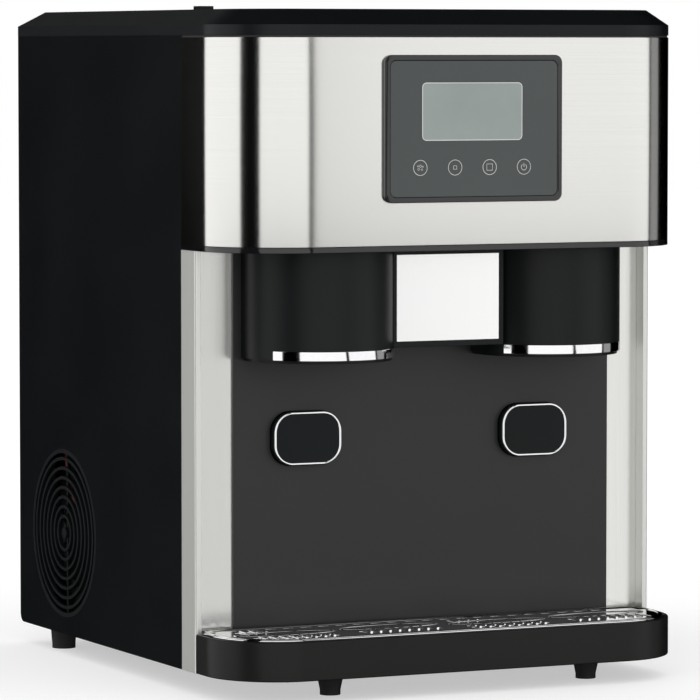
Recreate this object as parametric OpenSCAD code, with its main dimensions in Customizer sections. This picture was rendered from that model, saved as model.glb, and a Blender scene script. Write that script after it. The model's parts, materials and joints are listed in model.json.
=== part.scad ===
// Countertop ice maker with an ice spout and a water spout.
// Frame: +Z up, the front faces -Y, X = 0 is the middle plane. The origin is on the floor,
// under the middle of the overall box. Millimetres.

/* [Cabinet] */
// Width over the two side panels
body_w = 326; // [322:1:332]
// Depth of the side panels, front edge to rear edge
cabinet_d = 283; // [280:1:290]
// How far the head and the shelf reach ahead of the side panels
front_reach = 87; // [84:1:90]
// How far the rear fittings stand behind the rear panel
rear_proud = 5; // [4:0.5:8]
// Corner radius of the head in plan
head_r = 53; // [46:1:58]
// Height of the cabinet floor above the table
floor_z = 14.4; // [14:0.1:16]
// Wall of the folded steel sheets
sheet_t = 1.2; // [1:0.1:1.4]

/* [Head] */
// Underside of the head
head_z0 = 282.4; // [281:0.2:284]
// Height of the dark rim under the steel wrap
rim_h = 3.6; // [3:0.2:5]
// Top edge of the steel wrap
wrap_z1 = 417; // [416:0.2:418]
// Bottom edge of the top cover's skirt
cover_z0 = 418.2; // [418:0.1:419]
// Height where the cover's chamfer starts
cover_edge_z = 424.8; // [423:0.2:426]
// Top of the cover
top_z = 434.6; // [433:0.2:437]
// Width of the cover's chamfer in plan
chamfer_w = 14.5; // [12:0.5:16]

/* [Control panel] */
// Width of the raised bezel
bezel_w = 125; // [122:1:128]
// Bottom of the bezel
bezel_z0 = 313; // [312:0.5:315]
// Top of the bezel
bezel_z1 = 405.8; // [404:0.5:407]
// Width of the display window
lcd_w = 70.6; // [66:0.2:74]
// Bottom of the display window
lcd_z0 = 352; // [350:0.5:354]
// Top of the display window
lcd_z1 = 388.4; // [386:0.5:390]
// Distance between two touch keys
key_pitch = 24.4; // [22:0.2:25]
// Height of the touch keys' centres
key_z = 335; // [333:0.5:337]
// Diameter of a touch key's ring
key_d = 10.2; // [9:0.2:11]

/* [Spouts and paddles] */
// Half the distance between the two spouts' centres
spout_x = 81.6; // [80:0.1:84]
// Outer radius of a spout
spout_r = 49; // [46:0.5:50]
// Bottom edge of the spout's black wall
spout_z0 = 219.6; // [218:0.2:222]
// Bottom edge of the chrome ring
ring_z0 = 213.6; // [212:0.2:215]
// Half the distance between the two paddles' centres
paddle_x = 81.6; // [80:0.2:84]
// Width of a paddle
paddle_w = 47; // [44:0.5:50]
// Height of a paddle
paddle_h = 34; // [32:0.5:36]
// Height of a paddle's centre
paddle_z = 161; // [158:0.5:164]

/* [Shelf and feet] */
// Top of the shelf rim
shelf_z1 = 39.4; // [38:0.2:41]
// Corner radius of the shelf in plan
shelf_r = 49; // [46:1:56]
// Half the distance between the front feet
front_foot_x = 92; // [86:1:96]
// Distance of a rear foot from the middle plane
rear_foot_x = 148; // [144:1:150]

/* [Hidden] */

$fn = 64;
corner_step = 3;                          // degrees between the points of a round plan corner
spout_step = 3;                           // degrees between the points of a spout's round front
side_x = body_w / 2;                      // outer face of a side panel
inner_x = side_x - sheet_t;               // inner face of a side panel
corner_r = 6;                             // lower rear corner of the side panels
bezel_proud = 3;                          // how far the bezel stands off the steel
print_dx = -1.4;                          // the display window and the keys sit a little to the left
overall_d = bezel_proud + front_reach + cabinet_d + rear_proud;
panel_y = -overall_d / 2 + bezel_proud + front_reach;   // the side panels' front edge in the part's frame
front_y = -front_reach;                   // from here on Y counts from that front edge
back_y = cabinet_d;

// Dispensing bay
flange_d = 22.4;                          // depth of the surround's side flange
lip_w = 4;                                // width of the surround's front lip
bay_y = -13;                              // front face of the recessed steel
splash_t = 2;
splash_y = bay_y - splash_t;              // front face of the black splash panel
splash_x0 = -133.5;                       // left and right edges of the splash panel
splash_x1 = 136.2;
spout_mid = 2.6;                          // middle of the pair of spouts
spout_y = -25;                            // centre of the spouts' round front
spout_t = 2.4;
plate_x = 36.5;                           // half width of the bright centre plate
plate_frame = 3.6;
plate_y = -53;                            // front face of the centre plate
plate_z0 = 223.4;
plate_z1 = 279;
paddle_y = splash_y - 6;                  // front face of a paddle
paddle_mid = -2.4;                        // middle of the pair of paddles
paddle_r = 13;
paddle_gap = 0.5;
stem_r = 3;

// Shelf, tray and grid
front_foot_mid = 10;                      // middle of the pair of front feet
shelf_t = 2.6;
shelf_back = -13.4;
tray_gap = 0.5;
grid_gap = 1.3;
tray_t = 1.6;
tray_floor_z = floor_z + 3.6;
grid_t = 1.6;
grid_z0 = shelf_z1 - 0.6;

// Vents
vent_y = 201.5;
vent_z = 83;
vent_r = 57;
ring_pitch = 6.5;
ring_bar = 2.2;
ring_count = 7;

// Service lid
lid_x = -80;
lid_w = 132;
lid_y0 = 148;
lid_axis_y = 258;
lid_t = 3;
knuckle_r = 2.6;
lid_axis_z = top_z - knuckle_r;
pin_r = 1.2;
pin_gap = 0.05;

// Ice path
auger_x = spout_at(-1);
auger_z = 286;
auger_r = 26;
trough_r = 29;
auger_shaft_r = 5;
bin_x0 = -150;
bin_x1 = -19;
bin_y0 = 24;
bin_y1 = 214;
bin_z1 = 398;
bin_t = 2.4;
bin_low_z = 299;                          // the bin's right wall, under the end of the ice slide
drum_y0 = -54;
drum_t = 2.4;
duct_w = 44;
duct_y1 = -20.2;
flap_axis_y = -22.6;
flap_axis_z = auger_z - trough_r - 5;
flap_len = 30;
flap_t = 1.6;

// Ice making
ice_x0 = bin_x1 + 2;
ice_x1 = 120;
ice_y0 = 58;
ice_y1 = 182;
wall_t = 2.4;
pivot_x = 103;
pivot_z = 372;
pivot_r = 3;
tray_w = 44;
finger_rows = [68, 88];
finger_count = 5;
finger_pitch = 20;

// Lower cabinet
mid_z = 204;
mid_t = 2;
bulkhead_y = 12;
tank_x0 = -150;
tank_x1 = 46;
tank_y0 = 20;
tank_y1 = 134;
tank_z0 = floor_z + 6;
tank_z1 = 136;
tank_t = 2.4;
float_x = -60;
float_y = 76;
float_r = 15;
float_gap = 0.08;
post_r = 4;
pump_x = 84;
pump_y = 64;
comp_x = 76;
comp_y = 204;
comp_r = 54;
stub_a_z = 133;
stub_b_z = 137;
fan_x0 = -144;
fan_depth = 26;
fan_r = 46;
drain_x = -118;
drain_z = 32;
drain_r = 5;
gland_x = 118;
gland_z = 40;
inlet_x = 60;
inlet_z = 176;
cable_r = 3.6;

// ---------------------------------------------------------------- helpers

function spout_at(s) = spout_mid + s * spout_x;

module place() { translate([0, panel_y, 0]) children(); }

module block(x0, y0, z0, x1, y1, z1) {
    translate([x0, y0, z0]) cube([x1 - x0, y1 - y0, z1 - z0]);
}

module rod_x(x0, x1, y, z, r) { translate([x0, y, z]) rotate([0, 90, 0]) cylinder(h = x1 - x0, r = r); }
module rod_y(y0, y1, x, z, r) { translate([x, y1, z]) rotate([90, 0, 0]) cylinder(h = y1 - y0, r = r); }
module rod_z(z0, z1, x, y, r) { translate([x, y, z0]) cylinder(h = z1 - z0, r = r); }

module round_rect(w, h, r) {
    square([w - 2 * r, h], center = true);
    square([w, h - 2 * r], center = true);
    for (sx = [-1, 1], sy = [-1, 1])
        translate([sx * (w / 2 - r), sy * (h / 2 - r)]) circle(r = r);
}

// A plate with rounded corners that faces the front, between y0 and y1
module front_plate(x, z, w, h, r, y0, y1) {
    translate([x, y1, z]) rotate([90, 0, 0]) linear_extrude(height = y1 - y0) round_rect(w, h, r);
}

// Plan of the head and the shelf: square at the back, round front corners
module bow_plan(half_w, r, front, rear) {
    polygon(concat(
        [[half_w, rear], [-half_w, rear]],
        [for (a = [180 : corner_step : 270]) [r - half_w + r * cos(a), front + r + r * sin(a)]],
        [for (a = [270 : corner_step : 360]) [half_w - r + r * cos(a), front + r + r * sin(a)]]
    ));
}

module head_plan(inset = 0, rear = 0) {
    bow_plan(side_x - inset, head_r - inset, front_y + inset, rear);
}

// Plan of one spout: round front, straight sides back to the splash panel
module spout_plan(x, inset = 0) {
    half = spout_r - inset;
    polygon(concat(
        [[x + half, splash_y], [x - half, splash_y]],
        [for (a = [180 : spout_step : 360]) [x + half * cos(a), spout_y + half * sin(a)]]
    ));
}

function unit(v) = v / norm(v);

// A round pipe with mitred bends through the given points
module pipe(points, r, sides = 12) {
    last = len(points) - 1;
    run = [for (i = [0 : last - 1]) unit(points[i + 1] - points[i])];
    function side_of(d) = unit(cross(d, abs(d[2]) > 0.9 ? [0, 1, 0] : [0, 0, 1]));
    // Each run's frame is turned from the one before, so that the rings don't twist
    function turned(p, a, b) = p - (a + b) * (p * b) / (1 + a * b);
    function carried(i, s) = i == 0 ? s : turned(carried(i - 1, s), run[i - 1], run[i]);
    first = side_of(run[0]);
    rings = [
        for (i = [0 : last])
            let (
                k = min(i, last - 1),
                u = carried(k, first),
                v = cross(run[k], u),
                n = i == 0 || i == last ? run[k] : unit(run[i - 1] + run[i])
            )
            for (j = [0 : sides - 1])
                let (
                    c = u * cos(j * 360 / sides) + v * sin(j * 360 / sides),
                    slip = -(c * n) / (run[k] * n)
                )
                points[i] + r * (c + run[k] * slip)
    ];
    walls = [
        for (i = [0 : last - 1], j = [0 : sides - 1])
            let (a = i * sides + j, b = i * sides + (j + 1) % sides)
            each [[a, b + sides, b], [a, a + sides, b + sides]]
    ];
    ends = [[for (j = [0 : sides - 1]) j], [for (j = [sides - 1 : -1 : 0]) last * sides + j]];
    polyhedron(points = rings, faces = concat(walls, ends));
}

// ---------------------------------------------------------------- base, shelf and feet

module base_pan() place() color([0.07, 0.07, 0.08]) {
    difference() {
        union() {
            block(-inner_x, 0, floor_z, inner_x, back_y - corner_r, floor_z + 2.4);
            block(-side_x + lip_w + 0.2, bay_y + 1, floor_z, side_x - lip_w - 0.2, 1, floor_z + 2.4);
            block(-inner_x, back_y - sheet_t - 10, floor_z, inner_x, back_y - corner_r, floor_z + 10);
            block(-inner_x, back_y - corner_r - 1, floor_z + 5, inner_x, back_y - sheet_t, floor_z + 10);
        }
        rod_y(back_y - 20, back_y, drain_x, drain_z, 9);
        // Air slots under the condenser
        for (i = [0 : 5]) block(-132 + i * 12, 160, floor_z - 1, -127 + i * 12, 240, floor_z + 5);
    }
}

// Plan of the shelf, narrower at the back, between the steel side channels
module shelf_plan(inset) {
    neck = side_x - lip_w - 0.3 - inset;
    bow_plan(side_x - inset, shelf_r - inset, front_y + inset, -flange_d - inset);
    translate([-neck, -flange_d - inset - 1]) square([2 * neck, shelf_back + flange_d + 1]);
}

module front_shelf() place() color([0.09, 0.09, 0.085]) {
    difference() {
        translate([0, 0, floor_z]) linear_extrude(height = shelf_z1 - floor_z) shelf_plan(0);
        translate([0, 0, floor_z + shelf_t]) linear_extrude(height = 40) shelf_plan(shelf_t);
    }
    // Tongue that carries the front feet and joins the cabinet floor
    block(-120, front_y + 22, floor_z - 3, 120, 0, floor_z);
}

module foot(x, y, r0, r1, h) {
    translate([x, y, 0]) {
        cylinder(h = 3, r = r0);
        translate([0, 0, 3]) cylinder(h = h - 3, r1 = r0, r2 = r1);
    }
}

module feet() place() color([0.05, 0.05, 0.05])
    for (s = [-1, 1]) {
        foot(front_foot_mid + s * front_foot_x, -50, 6.6, 8.4, floor_z - 3);
        foot(s * rear_foot_x, 240, 8, 9, floor_z);
    }

// ---------------------------------------------------------------- cabinet sheets

module side_panel(s) {
    difference() {
        union() {
            // Rounded at the lower rear corner
            translate([s > 0 ? inner_x : -side_x, 0, 0]) rotate([90, 0, 90])
                linear_extrude(height = sheet_t) polygon(concat(
                    [[back_y, cover_z0], [0, cover_z0], [0, floor_z]],
                    [for (a = [270 : 10 : 360])
                        [back_y - corner_r + corner_r * cos(a), floor_z + corner_r + corner_r * sin(a)]]
                ));
            // Folded lip along the front edge, behind the steel surround
            translate([s > 0 ? inner_x - 8 : -inner_x, 0, floor_z + 3])
                cube([8, sheet_t, head_z0 - floor_z - 3]);
        }
        rod_x(-side_x - 1, side_x + 1, vent_y, vent_z, vent_r);
    }
}

module side_panel_left() place() color([0.06, 0.07, 0.08]) side_panel(-1);
module side_panel_right() place() color([0.06, 0.07, 0.08]) side_panel(1);

module back_panel() place() color([0.08, 0.08, 0.09]) {
    difference() {
        block(-inner_x, back_y - sheet_t, floor_z + 5, inner_x, back_y, cover_z0);
        for (i = [0 : 11]) block(10 + i * 11, back_y - 5, 90, 15 + i * 11, back_y + 1, 150);
        rod_y(back_y - 5, back_y + 1, drain_x, drain_z, 9);
        rod_y(back_y - 5, back_y + 1, gland_x, gland_z, 8.2);
        rod_y(back_y - 5, back_y + 1, inlet_x, inlet_z, 9.2);
        for (p = screw_places()) rod_y(back_y - 5, back_y + 1, p[0], p[1], 1.6);
    }
}

function screw_places() = [
    for (x = [-152, 0, 152], z = [26, 225, 408]) [x, z]
];

module rear_screws() place() color([0.25, 0.25, 0.26])
    for (p = screw_places()) {
        rod_y(back_y, back_y + 2, p[0], p[1], 3.6);
        rod_y(back_y - 7, back_y, p[0], p[1], 1.6);
    }

module vent_grille(s) {
    outer = s * side_x;
    inner = s * (side_x - 2.4);
    lo = min(outer, inner);
    hi = max(outer, inner);
    difference() {
        union() {
            difference() {
                rod_x(lo, hi, vent_y, vent_z, vent_r);
                rod_x(lo - 1, hi + 1, vent_y, vent_z, vent_r - 3);
            }
            for (i = [0 : ring_count - 1]) difference() {
                rod_x(lo, hi, vent_y, vent_z, vent_r - 5.5 - i * ring_pitch);
                rod_x(lo - 1, hi + 1, vent_y, vent_z, vent_r - 5.5 - ring_bar - i * ring_pitch);
            }
            rod_x(lo, hi, vent_y, vent_z, 4);
            // Radial bars, set back from the outer face
            for (a = [0 : 45 : 135]) translate([s * (side_x - 2.4 - 1.2), vent_y, vent_z])
                rotate([a, 0, 0]) cube([2.4, 2 * vent_r - 3, 2.4], center = true);
        }
    }
    // Seat ring behind the panel
    difference() {
        rod_x(min(s * inner_x, s * (inner_x - 2)), max(s * inner_x, s * (inner_x - 2)), vent_y, vent_z, vent_r + 3);
        rod_x(min(s * inner_x, s * (inner_x - 2)) - 1, max(s * inner_x, s * (inner_x - 2)) + 1,
            vent_y, vent_z, vent_r - 2);
    }
}

module vent_grille_left() place() color([0.04, 0.04, 0.05]) vent_grille(-1);
module vent_grille_right() place() color([0.04, 0.04, 0.05]) vent_grille(1);

// ---------------------------------------------------------------- top cover and lid

// Solid of the cover, drawn in by the given inset on every face but the bottom
module cover_form(inset) {
    x = side_x - inset;
    r = head_r - inset;
    y0 = front_y + inset;
    y1 = back_y - inset;
    z1 = top_z - inset;
    xc = x - chamfer_w;
    rise = z1 - cover_edge_z;
    module corners() {
        for (s = [-1, 1]) translate([s > 0 ? x - r : -x - 1, y0 - 1, cover_z0 - 1])
            cube([r + 1, r + 1, z1 - cover_z0 + 2]);
    }
    difference() {
        intersection() {
            translate([0, y1 + 1, 0]) rotate([90, 0, 0]) linear_extrude(height = y1 - y0 + 2)
                polygon([[-x, cover_z0], [x, cover_z0], [x, cover_edge_z], [xc, z1], [-xc, z1],
                    [-x, cover_edge_z]]);
            translate([-x - 1, 0, 0]) rotate([90, 0, 90]) linear_extrude(height = 2 * x + 2)
                polygon([[y0, cover_z0], [y1, cover_z0], [y1, cover_edge_z], [y1 - chamfer_w, z1],
                    [y0 + chamfer_w, z1], [y0, cover_edge_z]]);
        }
        corners();
    }
    for (s = [-1, 1]) intersection() {
        translate([s * (x - r), y0 + r, 0]) {
            translate([0, 0, cover_z0]) cylinder(h = cover_edge_z - cover_z0, r = r);
            translate([0, 0, cover_edge_z]) cylinder(h = rise, r1 = r, r2 = r - chamfer_w);
        }
        corners();
    }
}

module top_cover() place() color([0.08, 0.085, 0.09]) {
    difference() {
        cover_form(0);
        translate([0, 0, -2.6]) cover_form(2.6);
        translate([0, 0, -6]) cover_form(2.6);
        block(lid_x - lid_w / 2, lid_y0, cover_z0, lid_x + lid_w / 2, lid_axis_y + 4, top_z + 1);
    }
    // Ledge under the lid
    difference() {
        block(lid_x - lid_w / 2 - 2, lid_y0 - 2, top_z - 6, lid_x + lid_w / 2 + 2, lid_axis_y + 6,
            top_z - lid_t - 0.4);
        block(lid_x - lid_w / 2 + 4, lid_y0 + 4, 400, lid_x + lid_w / 2 - 4, lid_axis_y - 6, top_z);
        block(lid_x - lid_w / 2, lid_axis_y - 8, 400, lid_x + lid_w / 2, lid_axis_y + 4, top_z);
    }
    // Fixed knuckles at the two ends of the hinge
    for (s = [-1, 1]) difference() {
        union() {
            rod_x(lid_x + s * (lid_w / 2 - 5) - 5, lid_x + s * (lid_w / 2 - 5) + 5, lid_axis_y,
                lid_axis_z, knuckle_r);
            block(lid_x + s * (lid_w / 2 - 5) - 5, lid_axis_y, top_z - 6,
                lid_x + s * (lid_w / 2 - 5) + 5, lid_axis_y + 4.1, lid_axis_z);
        }
        rod_x(lid_x - lid_w, lid_x + lid_w, lid_axis_y, lid_axis_z, pin_r);
    }
}

module service_lid() place() color([0.08, 0.085, 0.09]) {
    gap = 0.5;
    half = lid_w / 2 - gap;
    hinge_half = lid_w / 2 - 10.5;
    difference() {
        union() {
            block(lid_x - half, lid_y0 + gap, top_z - lid_t, lid_x + half, lid_axis_y - 3.2, top_z);
            block(lid_x - hinge_half, lid_axis_y - 3.4, top_z - lid_t, lid_x + hinge_half, lid_axis_y,
                top_z);
            rod_x(lid_x - hinge_half, lid_x + hinge_half, lid_axis_y, lid_axis_z, knuckle_r);
            // Finger tab
            block(lid_x - 5, lid_y0 + gap, top_z - 0.5, lid_x + 5, lid_y0 + 12, top_z + 3.6);
        }
        rod_x(lid_x - lid_w, lid_x + lid_w, lid_axis_y, lid_axis_z, pin_r + pin_gap);
    }
}

module lid_hinge_pin() place() color([0.7, 0.7, 0.72])
    rod_x(lid_x - lid_w / 2, lid_x + lid_w / 2, lid_axis_y, lid_axis_z, pin_r);

// ---------------------------------------------------------------- head

wrap_t = 0.8;
window_w = bezel_w - 6;
window_h = bezel_z1 - bezel_z0 - 6;
bezel_z = (bezel_z0 + bezel_z1) / 2;

module head_steel_wrap() place() color([0.86, 0.86, 0.84]) difference() {
    translate([0, 0, head_z0 + rim_h]) linear_extrude(height = wrap_z1 - head_z0 - rim_h) head_plan(0);
    translate([0, 0, head_z0]) linear_extrude(height = 200) head_plan(wrap_t, 1);
    front_plate(0, bezel_z, window_w, window_h, 4, front_y - 5, front_y + 5);
}

module head_shell() place() color([0.06, 0.06, 0.07]) difference() {
    translate([0, 0, head_z0 + rim_h]) linear_extrude(height = cover_z0 - head_z0 - rim_h)
        head_plan(wrap_t);
    translate([0, 0, head_z0]) linear_extrude(height = 200) head_plan(wrap_t + 2.2, 1);
    front_plate(0, bezel_z, window_w, window_h, 4, front_y - 5, front_y + 5);
}

module head_bottom_trim() place() color([0.04, 0.04, 0.045]) {
    difference() {
        translate([0, 0, head_z0]) linear_extrude(height = rim_h) head_plan(0);
        // Room above and below the floor of the head
        translate([0, 0, head_z0 + 3]) linear_extrude(height = 9) head_plan(3, 1);
        translate([0, 0, head_z0 - 1]) linear_extrude(height = 1.8) head_plan(3, 1);
        block(-side_x + 3, bay_y - 0.2, head_z0 - 1, side_x - 3, 1, head_z0 + 9);
        for (s = [-1, 1]) {
            translate([0, 0, head_z0 - 1]) linear_extrude(height = 10) spout_plan(spout_at(s), 1.2);
            block(spout_at(s) - 40, splash_y - 1, head_z0 - 1, spout_at(s) + 40, 0, head_z0 + 9);
        }
    }
}

module display_bezel() place() color([0.05, 0.055, 0.06]) difference() {
    union() {
        front_plate(0, bezel_z, bezel_w, bezel_z1 - bezel_z0, 5, front_y - bezel_proud,
            front_y);
        front_plate(0, bezel_z, window_w, window_h, 4, front_y, front_y + 5.5);
    }
    front_plate(0, bezel_z, bezel_w - 7.2, bezel_z1 - bezel_z0 - 7.2, 4, front_y - 4, front_y - 1.2);
    front_plate(0, bezel_z, bezel_w - 12, bezel_z1 - bezel_z0 - 12, 3, front_y - 2, front_y + 6);
}

module control_glass() place() color([0.24, 0.26, 0.27])
    front_plate(0, bezel_z, bezel_w - 7.4, bezel_z1 - bezel_z0 - 7.4, 3.9, front_y - 2.8, front_y - 1.2);

module lcd_window() place() color([0.55, 0.6, 0.58])
    front_plate(print_dx, (lcd_z0 + lcd_z1) / 2, lcd_w, lcd_z1 - lcd_z0, 3, front_y - 1.2, front_y + 6);

// Printed rings and icons of the four touch keys
module touch_key_marks() place() color([0.9, 0.9, 0.9]) {
    y0 = front_y - 2.9;
    y1 = front_y - 2.8;
    for (i = [0 : 3]) difference() {
        rod_y(y0, y1, print_dx + (i - 1.5) * key_pitch, key_z, key_d / 2);
        rod_y(y0 - 1, y1 + 1, print_dx + (i - 1.5) * key_pitch, key_z, key_d / 2 - 0.45);
    }
}

module display_board() place() color([0.1, 0.35, 0.2]) {
    y0 = front_y + 6;
    front_plate(0, bezel_z, 130, 104, 2, y0, y0 + 1.6);
    for (i = [0 : 3]) rod_y(y0 + 1.6, y0 + 5, print_dx + (i - 1.5) * key_pitch, key_z, 3);
    block(-30, y0 + 1.6, 355, 10, y0 + 5, 380);
}

// ---------------------------------------------------------------- dispensing bay

module steel_surround() place() color([0.85, 0.85, 0.83]) {
    z0 = floor_z;
    h = head_z0 - z0;
    // Folded side channels: outer flange, front lip, inner return
    for (s = [-1, 1]) scale([s, 1, 1]) translate([0, 0, z0]) linear_extrude(height = h)
        union() {
            translate([side_x - sheet_t, -flange_d + 1.5]) square([sheet_t, flange_d - 1.5]);
            translate([side_x - lip_w, -flange_d]) square([lip_w - 1.5, sheet_t]);
            translate([side_x - 1.5, -flange_d + 1.5]) intersection() {
                difference() { circle(r = 1.5); circle(r = 0.3); }
                translate([0, -2]) square([2, 2]);
            }
            translate([side_x - lip_w, -flange_d]) square([sheet_t, flange_d + bay_y + sheet_t]);
        }
    // Recessed back plane with the paddle openings
    difference() {
        block(-side_x + lip_w, bay_y, z0, side_x - lip_w, bay_y + 1, head_z0 + 3);
        for (s = [-1, 1]) {
            front_plate(paddle_mid + s * paddle_x, paddle_z, paddle_w + 1, paddle_h + 1, paddle_r + 0.5,
                bay_y - 1, 0);
            block(spout_at(s) - 40, bay_y - 1, 235, spout_at(s) + 40, 0, head_z0 + 4);
        }
    }
}

module splash_panel() place() color([0.1, 0.1, 0.1]) difference() {
    block(splash_x0, splash_y, shelf_z1 + 1.2, splash_x1, bay_y, head_z0);
    for (s = [-1, 1]) {
        front_plate(paddle_mid + s * paddle_x, paddle_z, paddle_w + 2 * paddle_gap, paddle_h + 2 * paddle_gap,
            paddle_r + paddle_gap, splash_y - 1, 0);
        block(spout_at(s) - 40, splash_y - 1, 235, spout_at(s) + 40, 0, head_z0 + 1);
    }
}

band_half = 60;                           // the chrome band covers this angle each way from the front
band_t = 1.4;

// Sector of a spout's round front, between two radii
module band_plan(s, r0, r1, half) {
    polygon(concat(
        [for (a = [270 - half : spout_step : 270 + half])
            [spout_at(s) + r1 * cos(a), spout_y + r1 * sin(a)]],
        [for (a = [270 + half : -spout_step : 270 - half])
            [spout_at(s) + r0 * cos(a), spout_y + r0 * sin(a)]]
    ));
}

module spout(s) {
    difference() {
        union() {
            translate([0, 0, ring_z0]) linear_extrude(height = head_z0 + 0.8 - ring_z0)
                spout_plan(spout_at(s));
            // Lip under the chrome band
            translate([0, 0, ring_z0 - 1.8]) linear_extrude(height = 3) spout_plan(spout_at(s), 1.6);
        }
        translate([0, 0, 200]) linear_extrude(height = 100) difference() {
            spout_plan(spout_at(s), spout_t + 1.6);
            translate([-side_x, splash_y - spout_t]) square([body_w, 20]);
        }
        translate([0, 0, ring_z0 - 1]) linear_extrude(height = spout_z0 - ring_z0 + 1)
            band_plan(s, spout_r - band_t, spout_r + 2, band_half);
        block(spout_at(s) - 40, splash_y - spout_t - 1, 235, spout_at(s) + 40, 0, head_z0 + 2);
    }
}

module spout_left() place() color([0.09, 0.09, 0.1]) spout(-1);
module spout_right() place() color([0.09, 0.09, 0.1]) spout(1);

module chrome_rings() place() color([0.8, 0.8, 0.82])
    for (s = [-1, 1]) translate([0, 0, ring_z0]) linear_extrude(height = spout_z0 - ring_z0)
        band_plan(s, spout_r - band_t, spout_r + 0.1, band_half);

module water_nozzle() place() color([0.08, 0.08, 0.09]) difference() {
    union() {
        rod_z(226, head_z0 + 4, spout_at(1), -42, 8);
        rod_z(219, 226, spout_at(1), -42, 12);
        rod_z(head_z0 + 3.2, head_z0 + 6, spout_at(1), -42, 12);
        // Bridge plate that rests over the spout's mouth in the head
        block(spout_at(1) - 46, -52, head_z0 + 3.2, spout_at(1) + 46, -32, head_z0 + 6);
    }
    rod_z(200, head_z0 + 20, spout_at(1), -42, 4);
}

module centre_plate_frame() place() color([0.07, 0.07, 0.075]) difference() {
    block(-plate_x - plate_frame, plate_y + 0.8, plate_z0 - plate_frame, plate_x + plate_frame,
        splash_y, head_z0);
    block(-plate_x, plate_y - 1, plate_z0, plate_x, plate_y + 1.8, plate_z1);
    block(-plate_x + 3, plate_y + 4, plate_z0 + 1, plate_x - 3, splash_y + 1, plate_z1);
    for (s = [-1, 1]) translate([0, 0, 200]) linear_extrude(height = 100)
        spout_plan(spout_at(s), 0);
}

module centre_steel_plate() place() color([0.93, 0.93, 0.92])
    block(-plate_x, plate_y, plate_z0, plate_x, plate_y + 1.8, plate_z1);

module paddle(s) {
    x = paddle_mid + s * paddle_x;
    front_plate(x, paddle_z, paddle_w - 3, paddle_h - 3, paddle_r - 1.5, paddle_y, paddle_y + 1.2);
    front_plate(x, paddle_z, paddle_w, paddle_h, paddle_r, paddle_y + 1.2, -11.6);
    // Retaining flange behind the steel plane, and the stem
    front_plate(x, paddle_z, paddle_w + 6, paddle_h + 6, paddle_r + 3, -11.6, -9.6);
    rod_y(-9.6, -2, x, paddle_z, stem_r);
}

module paddle_trim(s) {
    x = paddle_mid + s * paddle_x;
    difference() {
        front_plate(x, paddle_z, paddle_w, paddle_h, paddle_r, paddle_y - 0.2, paddle_y + 1.2);
        front_plate(x, paddle_z, paddle_w - 2.9, paddle_h - 2.9, paddle_r - 1.45, paddle_y - 1, paddle_y + 2);
    }
}

module ice_paddle() place() color([0.05, 0.06, 0.08]) paddle(-1);
module water_paddle() place() color([0.05, 0.06, 0.08]) paddle(1);
module ice_paddle_trim() place() color([0.85, 0.85, 0.86]) paddle_trim(-1);
module water_paddle_trim() place() color([0.85, 0.85, 0.86]) paddle_trim(1);

// Return springs, at their pressed length round each stem
module paddle_springs() place() color([0.6, 0.6, 0.62])
    for (s = [-1, 1], i = [0 : 3]) translate([paddle_mid + s * paddle_x, -4 + i * 1.9, paddle_z])
        rotate([90, 0, 0]) rotate_extrude() translate([stem_r + 1.6, 0]) circle(r = 0.94, $fn = 24);

module micro_switches() place() color([0.12, 0.12, 0.13])
    for (s = [-1, 1]) {
        x = paddle_mid + s * paddle_x;
        block(x - 14, 2.7, paddle_z - 8, x + 14, bulkhead_y, paddle_z + 8);
    }

// ---------------------------------------------------------------- drip tray and grid

module tray_plan(inset) { shelf_plan(shelf_t + inset); }

module drip_tray() place() color([0.1, 0.1, 0.1]) difference() {
    translate([0, 0, tray_floor_z]) linear_extrude(height = grid_z0 - tray_floor_z - 0.4)
        tray_plan(tray_gap);
    translate([0, 0, tray_floor_z + tray_t]) linear_extrude(height = 40) tray_plan(tray_gap + tray_t);
}

slot_rows = 3;
slot_columns = 21;

module grid_slots() {
    for (row = [0 : slot_rows - 1], i = [0 : slot_columns - 1])
        translate([(i - (slot_columns - 1) / 2) * 13.2 - 4.5, -36.5 - row * 19]) square([9, 14]);
}

module drip_grid() place() color([0.82, 0.82, 0.84]) {
    difference() {
        translate([0, 0, grid_z0]) linear_extrude(height = grid_t) tray_plan(grid_gap);
        translate([0, 0, grid_z0 - 1]) linear_extrude(height = 4) grid_slots();
    }
}

// ---------------------------------------------------------------- rear fittings

module drain_plug() place() color([0.2, 0.2, 0.21]) {
    rod_y(back_y - 14, back_y + 1, drain_x, drain_z, drain_r - 0.05);
    rod_y(back_y + 1, back_y + rear_proud, drain_x, drain_z, 8);
}

module cord_gland() place() color([0.07, 0.07, 0.07]) difference() {
    union() {
        rod_y(back_y - 12, back_y, gland_x, gland_z, 8);
        rod_y(back_y, back_y + rear_proud, gland_x, gland_z, 11);
        rod_y(back_y - sheet_t - 4, back_y - sheet_t, gland_x, gland_z, 11);
    }
    rod_y(back_y - 20, back_y + 20, gland_x, gland_z, cable_r);
}

module inlet_valve() place() color([0.8, 0.8, 0.78]) difference() {
    union() {
        rod_y(back_y - 22, back_y + rear_proud, inlet_x, inlet_z, 9);
        rod_y(back_y, back_y + 2.5, inlet_x, inlet_z, 13);
    }
    rod_y(back_y - 14, back_y + rear_proud + 1, inlet_x, inlet_z, 3.2);
}

// ---------------------------------------------------------------- water

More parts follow.
